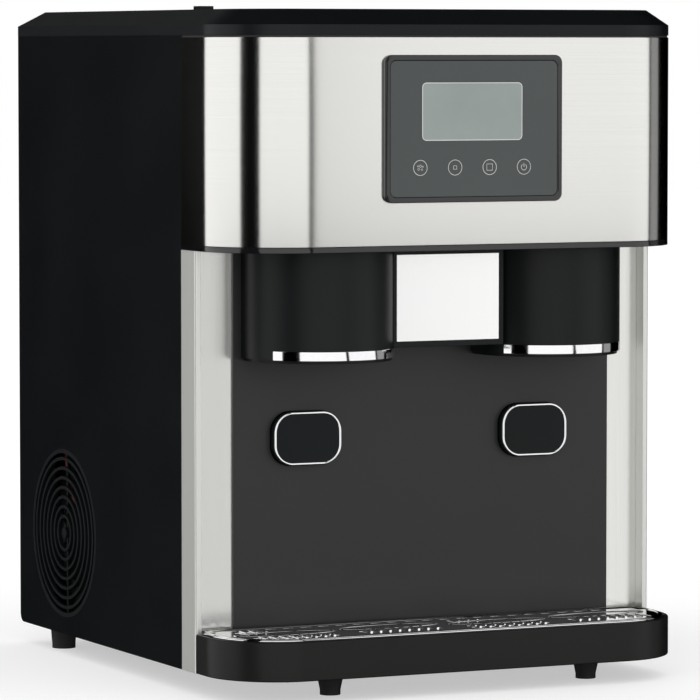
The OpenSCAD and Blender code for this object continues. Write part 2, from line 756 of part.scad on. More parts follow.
// Shelf over the tank and the compressor, with its front wall and rear legs
module inner_frame() place() color([0.2, 0.2, 0.21]) {
    block(-inner_x + 8, bulkhead_y, floor_z + 2.4, inner_x - 8, bulkhead_y + 2.4, mid_z - mid_t / 2);
    difference() {
        block(-inner_x + 2, bulkhead_y, mid_z - mid_t, inner_x - 2, back_y - sheet_t - 2, mid_z);
        block(126, 170, mid_z - 5, 144, 250, mid_z + 1);
        block(60, 22, mid_z - 5, 110, 48, mid_z + 1);
    }
    for (s = [-1, 1], y = [150, back_y - 26]) block(s * 152 - 5, y, floor_z + 2.4, s * 152 + 5, y + 10,
        mid_z - mid_t / 2);
}

module water_tank() place() color([0.75, 0.8, 0.82]) {
    difference() {
        block(tank_x0, tank_y0, tank_z0, tank_x1, tank_y1, tank_z1);
        block(tank_x0 + tank_t, tank_y0 + tank_t, tank_z0 + tank_t, tank_x1 - tank_t,
            tank_y1 - tank_t, tank_z1 + 1);
    }
    rod_z(tank_z0, tank_z1 - 6, float_x, float_y, post_r);
    for (x = [tank_x0 + 12, tank_x1 - 12], y = [tank_y0 + 12, tank_y1 - 12])
        rod_z(floor_z + 2.4, tank_z0, x, y, 6);
}

module level_float() place() color([0.9, 0.9, 0.88]) difference() {
    rod_z(tank_z0 + tank_t + 1, tank_z0 + tank_t + 19, float_x, float_y, float_r);
    rod_z(tank_z0, tank_z1, float_x, float_y, post_r + float_gap);
}

module water_pump() place() color([0.15, 0.16, 0.18]) {
    rod_z(floor_z + 2.4, 62, pump_x, pump_y, 21);
    rod_z(62, 70, pump_x, pump_y, 14);
    rod_y(pump_y - 34, pump_y - 18, pump_x, 30, 4.5);
    block(pump_x - 26, pump_y - 6, floor_z + 2.4, pump_x + 26, pump_y + 6, floor_z + 6);
}

module water_hoses() place() color([0.85, 0.86, 0.84]) {
    // Pump to the water nozzle
    pipe([[pump_x, pump_y, 70], [pump_x, pump_y, 86], [pump_x, 35, 110], [pump_x, 35, 300],
        [spout_at(1), -42, 330], [spout_at(1), -42, head_z0 + 6]], 4);
    // Inlet valve to the tank
    pipe([[inlet_x, back_y - 22, inlet_z], [inlet_x, back_y - 34, inlet_z], [14, 228, inlet_z],
        [4, 120, 168], [4, 120, 120]], 3);
}

// ---------------------------------------------------------------- refrigeration

module compressor() place() color([0.05, 0.05, 0.05]) {
    z0 = floor_z + 16;
    translate([comp_x, comp_y, z0]) rotate_extrude() polygon(concat(
        [[0, 0], [comp_r - 10, 0]],
        [for (a = [-90 : 15 : 0]) [comp_r - 10 + 10 * cos(a), 10 + 10 * sin(a)]],
        [for (a = [0 : 10 : 90]) [(comp_r) * cos(a), 70 + 34 * sin(a)]]
    ));
    for (a = [45 : 90 : 315]) translate([comp_x, comp_y, z0]) rotate([0, 0, a])
        difference() {
            translate([comp_r - 12, -9, 0]) cube([24, 18, 3]);
            translate([comp_r + 5, 0, -1]) cylinder(h = 6, r = 4.1);
        }
    // Stubs that the tubes are brazed to
    rod_z(z0 + 80, stub_a_z, comp_x - 30, comp_y, 4);
    rod_z(z0 + 80, stub_b_z, comp_x + 20, comp_y, 4);
}

module compressor_mounts() place() color([0.3, 0.3, 0.3])
    for (a = [45 : 90 : 315]) translate([comp_x, comp_y, floor_z + 2.4]) rotate([0, 0, a])
        translate([comp_r + 5, 0, 0]) {
            cylinder(h = 13.6, r = 7);
            cylinder(h = 22, r = 4);
        }

module condenser() place() color([0.55, 0.57, 0.58]) {
    x0 = fan_x0 + fan_depth + 4;
    // Tightly packed fins, as a core with ribs, and the ends of the tubes that run through them
    block(x0 + 1.5, 146, floor_z + 2.4, x0 + 20.5, 257, 138);
    for (i = [0 : 13]) block(x0, 146 + i * 8.4, floor_z + 2.4, x0 + 22, 147.8 + i * 8.4, 138);
    for (j = [0 : 4]) rod_y(144, 259, x0 + 11, 34 + j * 22, 3.2);
}

module fan_shroud() place() color([0.1, 0.1, 0.1]) {
    x1 = fan_x0 + fan_depth;
    difference() {
        block(fan_x0, vent_y - 54, vent_z - 54, x1, vent_y + 54, vent_z + 54);
        rod_x(fan_x0 - 1, x1 + 1, vent_y, vent_z, fan_r);
    }
    // Feet, motor spider and shaft
    block(fan_x0, vent_y - 54, floor_z + 2.4, x1, vent_y + 54, vent_z - 54);
    for (a = [0 : 60 : 120]) translate([x1 - 1.5, vent_y, vent_z]) rotate([a, 0, 0])
        cube([3, 2 * fan_r + 4, 4], center = true);
    rod_x(x1 - 8, x1, vent_y, vent_z, 15);
    rod_x(fan_x0 + 1, x1 - 7, vent_y, vent_z, 2);
}

module fan_impeller() place() color([0.16, 0.16, 0.17]) difference() {
    union() {
        rod_x(fan_x0 + 1.5, fan_x0 + 16, vent_y, vent_z, 15);
        for (a = [0 : 7]) translate([fan_x0 + 9, vent_y, vent_z]) rotate([a * 360 / 7, 0, 0])
            translate([0, 0, 28]) rotate([0, 0, 32]) cube([1.6, 17, 30], center = true);
    }
    rod_x(fan_x0 - 1, fan_x0 + 30, vent_y, vent_z, 2.05);
}

module refrigerant_tubes() place() color([0.72, 0.45, 0.3]) {
    // Compressor to condenser, and compressor to evaporator
    pipe([[comp_x - 30, comp_y, stub_a_z], [comp_x - 30, comp_y, 156], [-40, 268, 156],
        [-40, 268, 122], [fan_x0 + fan_depth + 15, 268, 122], [fan_x0 + fan_depth + 15, 259, 122]], 2.6);
    pipe([[comp_x + 20, comp_y, stub_b_z], [comp_x + 20, comp_y, 166],
        [138, comp_y, 166], [138, comp_y, 409], [78, comp_y, 409], [78, ice_y1, 409]], 2.6);
}

module evaporator() place() color([0.75, 0.76, 0.78]) {
    z = 404;
    block(58, ice_y0, z, 98, ice_y1, z + 8);
    for (x = finger_rows, i = [0 : finger_count - 1])
        translate([x, 120 + (i - 2) * finger_pitch, 0]) {
            rod_z(380, z, 0, 0, 4.5);
            translate([0, 0, 380]) sphere(r = 4.5);
        }
}

module ice_housing() place() color([0.85, 0.86, 0.87]) {
    drop = 16.5;
    difference() {
        union() {
            for (y = [ice_y0, ice_y1 - wall_t]) block(ice_x0, y, mid_z, ice_x1, y + wall_t, 404);
            block(ice_x1 - wall_t, ice_y0, mid_z, ice_x1, ice_y1, 404);
            // Sloped slide to the bin
            translate([0, ice_y1 - 1, 0]) rotate([90, 0, 0]) linear_extrude(height = ice_y1 - ice_y0 - 2)
                polygon([[ice_x0, 301], [ice_x1 - 1, 301 + drop], [ice_x1 - 1, 298 + drop],
                    [ice_x0, 298]]);
        }
        rod_y(ice_y0 - 1, ice_y1 + 1, pivot_x, pivot_z, pivot_r + 0.08);
    }
}

module freezing_tray() place() color([0.55, 0.65, 0.72]) {
    y0 = ice_y0 + wall_t + 1;
    y1 = ice_y1 - wall_t - 1;
    difference() {
        block(pivot_x - 1 - tray_w, y0, pivot_z - 7, pivot_x - 1, y1, pivot_z + 12);
        block(pivot_x + 0.6 - tray_w, y0 + 1.6, pivot_z - 5.4, pivot_x - 3.4, y1 - 1.6, pivot_z + 13);
    }
    rod_y(ice_y0 - 6, y1 + 3, pivot_x, pivot_z, pivot_r);
}

module tray_motor() place() color([0.2, 0.2, 0.22]) difference() {
    union() {
        rod_y(ice_y0 - 20, ice_y0 - 0.4, pivot_x, pivot_z, 13);
        block(pivot_x - 13, ice_y0 - 3, pivot_z - 18, pivot_x + 13, ice_y0, pivot_z + 18);
    }
    rod_y(ice_y0 - 7, ice_y0 + 1, pivot_x, pivot_z, pivot_r + 0.08);
}

// ---------------------------------------------------------------- ice store and ice path

module bin_section(inset) {
    x0 = bin_x0 + inset;
    x1 = bin_x1 - inset;
    r = trough_r + bin_t - inset;
    translate([auger_x, auger_z]) circle(r = r);
    polygon([[auger_x - r, auger_z], [x0, auger_z + 34], [x0, bin_z1 + inset], [x1, bin_z1 + inset],
        [x1, auger_z + 13], [auger_x + r, auger_z]]);
}

module ice_bin() place() color([0.8, 0.84, 0.86]) {
    difference() {
        union() {
            translate([0, bin_y1, 0]) rotate([90, 0, 0]) linear_extrude(height = bin_y1 - bin_y0)
                bin_section(0);
            // Legs down to the middle shelf
            for (y = [bin_y0 + 6, bin_y1 - 16]) block(auger_x - 24, y, mid_z, auger_x + 24, y + 10,
                auger_z - 20);
        }
        translate([0, bin_y1 - bin_t, 0]) rotate([90, 0, 0])
            linear_extrude(height = bin_y1 - bin_y0 - 2 * bin_t) bin_section(bin_t);
        // Low side wall, where the ice slide ends
        block(bin_x1 - 10, bin_y0 + bin_t, bin_low_z, bin_x1 + 1, bin_y1 - bin_t, bin_z1 + 1);
        rod_y(bin_y0 - 1, bin_y0 + 5, auger_x, auger_z, trough_r);
        rod_y(bin_y1 - 5, bin_y1 + 1, auger_x, auger_z, auger_shaft_r + 0.08);
    }
}

// A helical flight round the Y axis, from y0 to y1
module screw_flight(y0, y1, turns, r, t) {
    steps = turns * 14;
    inner = auger_shaft_r - 2;
    section = [[inner, -t / 2], [r, -t / 2], [r, t / 2], [inner, t / 2]];
    points = [
        for (i = [0 : steps], p = section)
            let (a = i * 360 * turns / steps, y = y0 + (y1 - y0) * i / steps)
            [p[0] * cos(a), y + p[1], p[0] * sin(a)]
    ];
    sides = [
        for (i = [0 : steps - 1], k = [0 : 3])
            let (a = 4 * i + k, b = 4 * i + (k + 1) % 4)
            each [[a, b + 4, b], [a, a + 4, b + 4]]
    ];
    last = 4 * steps;
    caps = [[0, 1, 2], [0, 2, 3], [last, last + 2, last + 1], [last, last + 3, last + 2]];
    polyhedron(points = points, faces = concat(sides, caps));
}

module auger() place() color([0.78, 0.79, 0.8]) {
    rod_y(drum_y0 - 1, bin_y1 + 16, auger_x, auger_z, auger_shaft_r);
    translate([auger_x, 0, auger_z]) screw_flight(-12, bin_y1 - 8, 4, auger_r, 3);
    // Crushing blades at the outlet
    for (i = [0 : 2]) translate([auger_x, -24 - i * 13, auger_z]) rotate([0, 60 * i, 0])
        cube([2 * auger_r, 3, 12], center = true);
}

module auger_motor() place() color([0.3, 0.31, 0.33]) difference() {
    union() {
        rod_y(bin_y1 + 12, bin_y1 + 58, auger_x, auger_z, 27);
        block(auger_x - 30, bin_y1 + 0.4, auger_z - 30, auger_x + 30, bin_y1 + 12, auger_z + 30);
        block(auger_x - 20, bin_y1 + 6, mid_z, auger_x + 20, bin_y1 + 12, auger_z - 25);
    }
    rod_y(bin_y1 - 1, bin_y1 + 20, auger_x, auger_z, auger_shaft_r + 0.08);
}

module ice_chute() place() color([0.13, 0.13, 0.14]) {
    difference() {
        union() {
            rod_y(drum_y0 - drum_t, bin_y0 - 0.3, auger_x, auger_z, trough_r + drum_t);
            block(auger_x - duct_w / 2 - drum_t, drum_y0 - drum_t, 216, auger_x + duct_w / 2 + drum_t,
                duct_y1 + drum_t, auger_z);
        }
        rod_y(drum_y0, bin_y0 + 1, auger_x, auger_z, trough_r);
        block(auger_x - duct_w / 2, drum_y0, 200, auger_x + duct_w / 2, duct_y1, auger_z);
        rod_y(drum_y0 - 5, drum_y0 + 1, auger_x, auger_z, auger_shaft_r + 0.08);
        rod_x(auger_x - 30, auger_x + 30, flap_axis_y, flap_axis_z, 1.58);
    }
    // Fixed crushing bars between the turning blades
    for (y = [-32, -45]) difference() {
        block(auger_x - trough_r - 1, y, auger_z + 6.5, auger_x + trough_r + 1, y + 3, auger_z + 12);
        rod_y(y - 1, y + 4, auger_x, auger_z, auger_shaft_r + 1);
    }
}

module chute_flap() place() color([0.3, 0.3, 0.32]) {
    rod_x(auger_x - duct_w / 2 - drum_t + 0.4, auger_x + duct_w / 2 + drum_t - 0.4, flap_axis_y,
        flap_axis_z, 1.5);
    block(auger_x - duct_w / 2 + 1.5, flap_axis_y - flap_len, flap_axis_z - flap_t / 2,
        auger_x + duct_w / 2 - 1.5, flap_axis_y, flap_axis_z + flap_t / 2);
}

module control_board() place() color([0.12, 0.38, 0.22]) {
    x = inner_x - 9;
    block(x, 30, 225, x + 1.6, 130, 360);
    for (y = [36, 118], z = [232, 348]) rod_x(x + 1.6, inner_x, y + 3, z + 3, 3);
    block(x - 14, 50, 250, x, 74, 280);
    block(x - 9, 90, 300, x, 112, 330);
}

base_pan();
front_shelf();
feet();
side_panel_left();
side_panel_right();
back_panel();
rear_screws();
vent_grille_left();
vent_grille_right();
top_cover();
service_lid();
lid_hinge_pin();
head_shell();
head_steel_wrap();
head_bottom_trim();
display_bezel();
control_glass();
lcd_window();
touch_key_marks();
display_board();
steel_surround();
splash_panel();
spout_left();
spout_right();
chrome_rings();
water_nozzle();
centre_plate_frame();
centre_steel_plate();
ice_paddle();
ice_paddle_trim();
water_paddle();
water_paddle_trim();
paddle_springs();
micro_switches();
drip_tray();
drip_grid();
drain_plug();
cord_gland();
inner_frame();
water_tank();
level_float();
water_pump();
inlet_valve();
water_hoses();
compressor();
compressor_mounts();
condenser();
fan_shroud();
fan_impeller();
refrigerant_tubes();
evaporator();
ice_housing();
freezing_tray();
tray_motor();
ice_bin();
auger();
auger_motor();
ice_chute();
chute_flap();
control_board();
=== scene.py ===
"""Looks for the countertop ice maker: studio, camera, materials and the detailed visible pieces.

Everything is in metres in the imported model's own frame. Places come from the CAD nodes' boxes.
"""
import json
import math

import bmesh
import bpy
from mathutils import Matrix, Vector


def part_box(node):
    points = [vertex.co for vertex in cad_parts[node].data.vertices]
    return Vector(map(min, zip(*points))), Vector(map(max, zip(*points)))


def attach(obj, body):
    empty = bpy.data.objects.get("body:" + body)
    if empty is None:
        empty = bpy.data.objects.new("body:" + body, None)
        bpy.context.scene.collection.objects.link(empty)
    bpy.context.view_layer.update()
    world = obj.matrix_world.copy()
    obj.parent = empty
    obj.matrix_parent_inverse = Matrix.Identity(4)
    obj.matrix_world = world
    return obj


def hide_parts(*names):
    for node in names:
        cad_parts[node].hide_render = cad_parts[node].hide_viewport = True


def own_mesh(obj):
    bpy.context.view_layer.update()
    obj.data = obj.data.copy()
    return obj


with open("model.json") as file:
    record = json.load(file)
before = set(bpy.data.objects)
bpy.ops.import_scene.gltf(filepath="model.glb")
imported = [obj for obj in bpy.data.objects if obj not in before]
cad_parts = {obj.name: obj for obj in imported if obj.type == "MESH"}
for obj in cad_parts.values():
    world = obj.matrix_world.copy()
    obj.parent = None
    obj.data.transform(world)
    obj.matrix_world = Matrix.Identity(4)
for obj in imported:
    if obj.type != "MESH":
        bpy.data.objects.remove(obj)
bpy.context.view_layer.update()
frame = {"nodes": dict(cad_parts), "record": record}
nodes = frame["nodes"]
MM = 0.001

# ------------------------------------------------------------------ measures read from the frame

wrap_lo, wrap_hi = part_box("head_steel_wrap")
half_w = wrap_hi.x                       # half width of the body
front_y = wrap_lo.y                      # front face of the head
edge_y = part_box("side_panel_left")[0].y  # front edge of the side panels
HEAD_R = 53 * MM                         # plan radius of the head's front corners


# ------------------------------------------------------------------ materials

def new_material(name):
    """An empty node material and its shader."""
    material = bpy.data.materials.new(name)
    material.use_nodes = True
    return material, material.node_tree.nodes["Principled BSDF"]


def add_node(material, kind, **values):
    """Adds one node and sets its properties or inputs by name."""
    node = material.node_tree.nodes.new(kind)
    for key, value in values.items():
        if key in node.inputs:
            node.inputs[key].default_value = value
        else:
            setattr(node, key, value)
    return node


def link(material, source, target):
    """Joins an output of one shader node to an input of another."""
    material.node_tree.links.new(source, target)


def stretched_coords(material, stretch):
    """Object coordinates scaled by a different amount along each axis."""
    coords = add_node(material, "ShaderNodeTexCoord")
    mapping = add_node(material, "ShaderNodeMapping")
    mapping.inputs["Scale"].default_value = stretch
    link(material, coords.outputs["Object"], mapping.inputs["Vector"])
    return mapping.outputs["Vector"]


def vary(material, noise, socket, low, high):
    """Drives a shader socket between two values from a noise node."""
    span = add_node(material, "ShaderNodeMapRange")
    span.inputs["To Min"].default_value = low
    span.inputs["To Max"].default_value = high
    link(material, noise.outputs["Fac"], span.inputs["Value"])
    link(material, span.outputs["Result"], socket)


def tint(material, noise, socket, dark, light):
    """Drives a colour socket between two colours from a noise node."""
    ramp = add_node(material, "ShaderNodeValToRGB")
    ramp.color_ramp.elements[0].color = (*dark, 1)
    ramp.color_ramp.elements[0].position = 0.3
    ramp.color_ramp.elements[1].color = (*light, 1)
    ramp.color_ramp.elements[1].position = 0.7
    link(material, noise.outputs["Fac"], ramp.inputs["Fac"])
    link(material, ramp.outputs["Color"], socket)


def bump(material, shader, height, strength, distance):
    """Roughens the shader's normal with a height output."""
    node = add_node(material, "ShaderNodeBump", Strength=strength, Distance=distance)
    link(material, height, node.inputs["Height"])
    link(material, node.outputs["Normal"], shader.inputs["Normal"])


def plastic(name, colour, roughness, grain=900, depth=0.02, coat=0.0, spread=0.05, metallic=0.0,
            specular=0.5):
    """Moulded plastic, rubber or paint: fine grain in the surface and a slow change of gloss."""
    material, shader = new_material(name)
    coords = stretched_coords(material, (1, 1, 1))
    fine = add_node(material, "ShaderNodeTexNoise", Scale=grain, Detail=3.0)
    slow = add_node(material, "ShaderNodeTexNoise", Scale=14.0, Detail=4.0)
    for noise in (fine, slow):
        link(material, coords, noise.inputs["Vector"])
    tint(material, slow, shader.inputs["Base Color"], [c * 0.9 for c in colour],
         [c * 1.1 for c in colour])
    vary(material, slow, shader.inputs["Roughness"], roughness - spread, roughness + spread)
    bump(material, shader, fine.outputs["Fac"], 1.0, depth * MM)
    shader.inputs["Metallic"].default_value = metallic
    shader.inputs["Specular IOR Level"].default_value = specular
    shader.inputs["Coat Weight"].default_value = coat
    shader.inputs["Coat Roughness"].default_value = 0.03
    return material


def brushed(name, colour, roughness, stretch, depth=0.004, anisotropy=0.5, turn=0.25):
    """Metal sheet brushed along the axes that have a low stretch."""
    material, shader = new_material(name)
    lines = add_node(material, "ShaderNodeTexNoise", Scale=1.0, Detail=5.0, Roughness=0.65)
    link(material, stretched_coords(material, stretch), lines.inputs["Vector"])
    tint(material, lines, shader.inputs["Base Color"], [c * 0.94 for c in colour],
         [min(1, c * 1.04) for c in colour])
    vary(material, lines, shader.inputs["Roughness"], roughness * 0.75, roughness * 1.3)
    bump(material, shader, lines.outputs["Fac"], 0.6, depth * MM)
    shader.inputs["Metallic"].default_value = 1.0
    # The highlight spreads across the brush lines: upright on level brushing, level on upright
    shader.inputs["Anisotropic"].default_value = anisotropy
    shader.inputs["Anisotropic Rotation"].default_value = turn
    tangent = add_node(material, "ShaderNodeTangent", direction_type="RADIAL", axis="Z")
    link(material, tangent.outputs["Tangent"], shader.inputs["Tangent"])
    return material


def metal(name, colour, roughness, grain=300, depth=0.002):
    """Plated or plain metal with faint wear in its gloss."""
    material, shader = new_material(name)
    noise = add_node(material, "ShaderNodeTexNoise", Scale=float(grain), Detail=4.0)
    link(material, stretched_coords(material, (1, 1, 1)), noise.inputs["Vector"])
    tint(material, noise, shader.inputs["Base Color"], [c * 0.95 for c in colour], colour)
    vary(material, noise, shader.inputs["Roughness"], roughness * 0.6, roughness * 1.5)
    bump(material, shader, noise.outputs["Fac"], 0.5, depth * MM)
    shader.inputs["Metallic"].default_value = 1.0
    return material


MATERIALS = {
    "painted_steel": plastic("painted_steel", (0.0045, 0.0052, 0.006), 0.22, 700, 0.002,
                             specular=0.25, spread=0.03),
    "cover_plastic": plastic("cover_plastic", (0.0055, 0.0068, 0.0078), 0.34, 1200, 0.006,
                             specular=0.22),
    "gloss_black": plastic("gloss_black", (0.006, 0.006, 0.007), 0.12, 300, 0.001, coat=0.4),
    "brushed_steel": brushed("brushed_steel", (0.82, 0.815, 0.785), 0.2, (5, 5, 3600), 0.0007, 0.85),
    "bay_steel": brushed("bay_steel", (0.81, 0.81, 0.78), 0.3, (2600, 2600, 6), 0.0006, 0.7, 0.0),
    "plate_steel": brushed("plate_steel", (1.0, 1.0, 0.985), 0.2, (5, 5, 3600), 0.0004, 0.6),
    "control_glass": plastic("control_glass", (0.03, 0.038, 0.037), 0.2, 200, 0.0003, coat=0.5),
    "lcd": plastic("lcd", (0.27, 0.31, 0.295), 0.25, 400, 0.0003, coat=0.4),
    "print_white": plastic("print_white", (0.75, 0.76, 0.76), 0.5, 900, 0.002),
    "splash_black": plastic("splash_black", (0.0125, 0.0135, 0.0125), 0.42, 500, 0.001, specular=0.55),
    "spout_black": plastic("spout_black", (0.005, 0.006, 0.0065), 0.4, 1400, 0.003, specular=0.24),
    "shelf_black": plastic("shelf_black", (0.009, 0.0096, 0.0085), 0.34, 1300, 0.004, specular=0.22),
    "paddle_black": plastic("paddle_black", (0.004, 0.006, 0.0065), 0.12, 300, 0.0003,
                            specular=0.14, spread=0.02),
    "chrome": metal("chrome", (0.92, 0.92, 0.93), 0.08),
    "rubber": plastic("rubber", (0.012, 0.012, 0.0125), 0.7, 1500, 0.03),
    "screw_steel": metal("screw_steel", (0.16, 0.16, 0.17), 0.35),
    "pin_steel": metal("pin_steel", (0.62, 0.62, 0.64), 0.25),
    "spring_steel": metal("spring_steel", (0.55, 0.55, 0.58), 0.3),
    "switch_black": plastic("switch_black", (0.012, 0.012, 0.013), 0.5, 1000, 0.01),
    "inner_plastic": plastic("inner_plastic", (0.03, 0.03, 0.032), 0.55, 900, 0.02),
    "tank_plastic": plastic("tank_plastic", (0.55, 0.6, 0.62), 0.35, 300, 0.01),
    "float_foam": plastic("float_foam", (0.75, 0.72, 0.64), 0.8, 700, 0.08),
    "pump_black": plastic("pump_black", (0.02, 0.022, 0.027), 0.45, 900, 0.02),
    "valve_white": plastic("valve_white", (0.62, 0.62, 0.6), 0.45, 700, 0.01),
    "silicone": plastic("silicone", (0.62, 0.63, 0.6), 0.5, 300, 0.01),
    "compressor_black": plastic("compressor_black", (0.008, 0.008, 0.008), 0.3, 400, 0.02, coat=0.3),
    "fins": metal("fins", (0.7, 0.71, 0.72), 0.4),
    "fan_black": plastic("fan_black", (0.012, 0.012, 0.0125), 0.5, 900, 0.01),
    "copper": metal("copper", (0.72, 0.36, 0.2), 0.3),
    "nickel": metal("nickel", (0.7, 0.7, 0.72), 0.25),
    "white_plastic": plastic("white_plastic", (0.66, 0.69, 0.7), 0.4, 700, 0.01),
    "tray_blue": plastic("tray_blue", (0.3, 0.42, 0.5), 0.35, 700, 0.01),
    "motor_grey": metal("motor_grey", (0.35, 0.355, 0.37), 0.4),
    "stainless": metal("stainless", (0.66, 0.67, 0.68), 0.22),
    "board_green": plastic("board_green", (0.01, 0.09, 0.04), 0.35, 600, 0.01, coat=0.4),
}
# The recessed plane of the bay is smoother than its side flanges, which lie beyond FLANGE_X
FLANGE_X = half_w - 4.2 * MM
FLANGE_BLEND = 0.2 * MM
PLANE_GLOSS = 0.2
FLANGE_GLOSS = 0.36
bay = MATERIALS["bay_steel"]
bay_shader = bay.node_tree.nodes["Principled BSDF"]
bay_place = add_node(bay, "ShaderNodeTexCoord")
bay_parts = add_node(bay, "ShaderNodeSeparateXYZ")
bay_side = add_node(bay, "ShaderNodeMath", operation="ABSOLUTE")
bay_gloss = add_node(bay, "ShaderNodeMapRange")
bay_gloss.inputs["From Min"].default_value = FLANGE_X - FLANGE_BLEND
bay_gloss.inputs["From Max"].default_value = FLANGE_X
bay_gloss.inputs["To Min"].default_value = PLANE_GLOSS
bay_gloss.inputs["To Max"].default_value = FLANGE_GLOSS
link(bay, bay_place.outputs["Object"], bay_parts.inputs["Vector"])
link(bay, bay_parts.outputs["X"], bay_side.inputs[0])
link(bay, bay_side.outputs["Value"], bay_gloss.inputs["Value"])
link(bay, bay_gloss.outputs["Result"], bay_shader.inputs["Roughness"])

MATERIALS["red_wire"] = plastic("red_wire", (0.35, 0.02, 0.015), 0.4, 600, 0.01)

# ------------------------------------------------------------------ CAD nodes that stay

NODE_FINISH = {entry["node"]: entry["material_slot"] for entry in frame["record"]["subparts"]}
NODE_FINISH["steel_surround"] = "bay_steel"
NODE_FINISH["centre_steel_plate"] = "plate_steel"


def soften(obj, width, angle=28):
    """Welds a node's faces in the viewport stack, rounds its hard edges and smooths the rest."""
    for polygon in obj.data.polygons:
        polygon.use_smooth = True
    weld = obj.modifiers.new("weld", "WELD")
    weld.merge_threshold = 0.00002
    bevel = obj.modifiers.new("bevel", "BEVEL")
    bevel.width = width
    bevel.segments = 2
    bevel.limit_method = "ANGLE"
    bevel.angle_limit = math.radians(angle)
    bevel.use_clamp_overlap = True
    normals = obj.modifiers.new("normals", "WEIGHTED_NORMAL")
    normals.weight = 80


# Widths of the rounded edges in millimetres, where they aren't the usual one
EDGE = {"front_shelf": 0.8, "top_cover": 1.0, "service_lid": 0.6, "feet": 0.8, "spout_left": 0.5,
        "spout_right": 0.5, "display_bezel": 0.5, "ice_paddle": 0.8, "water_paddle": 0.8,
        "drain_plug": 0.8, "cord_gland": 0.8, "rear_screws": 0.6, "auger_motor": 1.0,
        "tray_motor": 1.0, "water_pump": 1.0}
USUAL_EDGE = 0.3

for name, obj in nodes.items():
    obj.data.materials.clear()
    obj.data.materials.append(MATERIALS[NODE_FINISH[name]])
    soften(obj, EDGE.get(name, USUAL_EDGE) * MM)


# ------------------------------------------------------------------ mesh helpers

def add_object(name, data):
    """A new object in the scene's collection."""
    obj = bpy.data.objects.new(name, data)
    bpy.context.scene.collection.objects.link(obj)
    return obj


def smooth_faces(mesh, sharp):
    """Shared normals, except at edges sharper than the given angle in degrees."""
    for polygon in mesh.polygons:
        polygon.use_smooth = True
    mesh.set_sharp_from_angle(angle=math.radians(sharp))


def make_object(name, vertices, faces, finish):
    """A smooth mesh object from vertices and faces, with coincident vertices merged."""
    mesh = bpy.data.meshes.new(name)
    mesh.from_pydata([tuple(v) for v in vertices], [], faces)
    mesh.validate()
    bm = bmesh.new()
    bm.from_mesh(mesh)
    bmesh.ops.remove_doubles(bm, verts=bm.verts, dist=0.000002)
    bmesh.ops.recalc_face_normals(bm, faces=bm.faces)
    bm.to_mesh(mesh)
    bm.free()
    mesh.materials.append(MATERIALS[finish])
    smooth_faces(mesh, 30)
    return add_object(name, mesh)


def curve_mesh(name, curve, finish):
    """The mesh of a curve with its bevel, in one finish."""
    holder = add_object(name, curve)
    mesh = bpy.data.meshes.new_from_object(holder)
    bpy.data.objects.remove(holder)
    mesh.materials.clear()
    mesh.materials.append(MATERIALS[finish])
    return mesh


def add_spline(curve, points, closed, kind="POLY"):
    """Adds a spline through 3-D points to a curve."""
    spline = curve.splines.new(kind)
    if kind == "NURBS":
        spline.order_u = 4
        spline.use_endpoint_u = True
    spline.points.add(len(points) - 1)
    for point, place in zip(spline.points, points):
        point.co = (*place, 1)
    spline.use_cyclic_u = closed


def piece(obj, body, slot, *replaced):
    """Attaches a new piece to its body and hides the CAD nodes it replaces."""
    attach(obj, body)
    if replaced:
        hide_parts(*replaced)
    return obj


def bow_path(half, radius, front, rear, steps=28):
    """Open path from the left rear, round the two front corners, to the right rear."""
    points = [(-half, rear)]
    for i in range(steps + 1):
        a = math.pi + i * math.pi / 2 / steps
        points.append((radius - half + radius * math.cos(a), front + radius + radius * math.sin(a)))
    for i in range(steps + 1):
        a = 1.5 * math.pi + i * math.pi / 2 / steps
        points.append((half - radius + radius * math.cos(a), front + radius + radius * math.sin(a)))
    points.append((half, rear))
    return points


def bow_wall(name, finish, section, half, radius, front, rear, path):
    """Sweeps a closed section of (inset, height) points along the path and caps its ends."""
    vertices = []
    rows = []
    for inset, z in section:
        row = path(half - inset, radius - inset, front + inset, rear)
        rows.append([len(vertices) + k for k in range(len(row))])
        vertices += [(x, y, z) for x, y in row]
    faces = []
    for a, b in zip(rows, rows[1:] + rows[:1]):
        faces += [(a[k], a[k + 1], b[k + 1], b[k]) for k in range(len(a) - 1)]
    faces.append(tuple(row[0] for row in rows))
    faces.append(tuple(row[-1] for row in reversed(rows)))
    return make_object(name, vertices, faces, finish)


def rounded_section(inset0, inset1, z0, z1, r, steps=4):
    """Section of a wall with its two outer edges rounded."""
    points = []
    for i in range(steps + 1):
        a = i * math.pi / 2 / steps
        points.append((inset0 + r - r * math.sin(a), z0 + r - r * math.cos(a)))
    for i in range(steps + 1):
        a = i * math.pi / 2 / steps
        points.append((inset0 + r - r * math.cos(a), z1 - r + r * math.sin(a)))
    return points + [(inset1, z1), (inset1, z0)]


def lathe(name, finish, profile, centre, steps):
    """Turns a profile of (radius, height) points round an axis along X through centre."""
    vertices = []
    for i in range(steps):
        a = math.radians(360) * i / steps
        for r, h in profile:
            vertices.append(Vector(centre) + Vector((h, r * math.cos(a), r * math.sin(a))))
    n = len(profile)
    faces = []
    for i in range(steps):
        j = (i + 1) % steps
        faces += [(i * n + k, j * n + k, j * n + k + 1, i * n + k + 1) for k in range(n - 1)]
    return make_object(name, vertices, faces, finish)


def round_rect_points(cx, cz, w, h, r, steps=10):
    """Closed outline of a rounded rectangle, as (x, z) points."""
    points = []
    for sx, sz, start in ((1, 1, 0), (-1, 1, 90), (-1, -1, 180), (1, -1, 270)):
        for i in range(steps + 1):
            a = math.radians(start + 90 * i / steps)
            points.append((cx + sx * (w / 2 - r) + r * math.cos(a),
                           cz + sz * (h / 2 - r) + r * math.sin(a)))
    return points


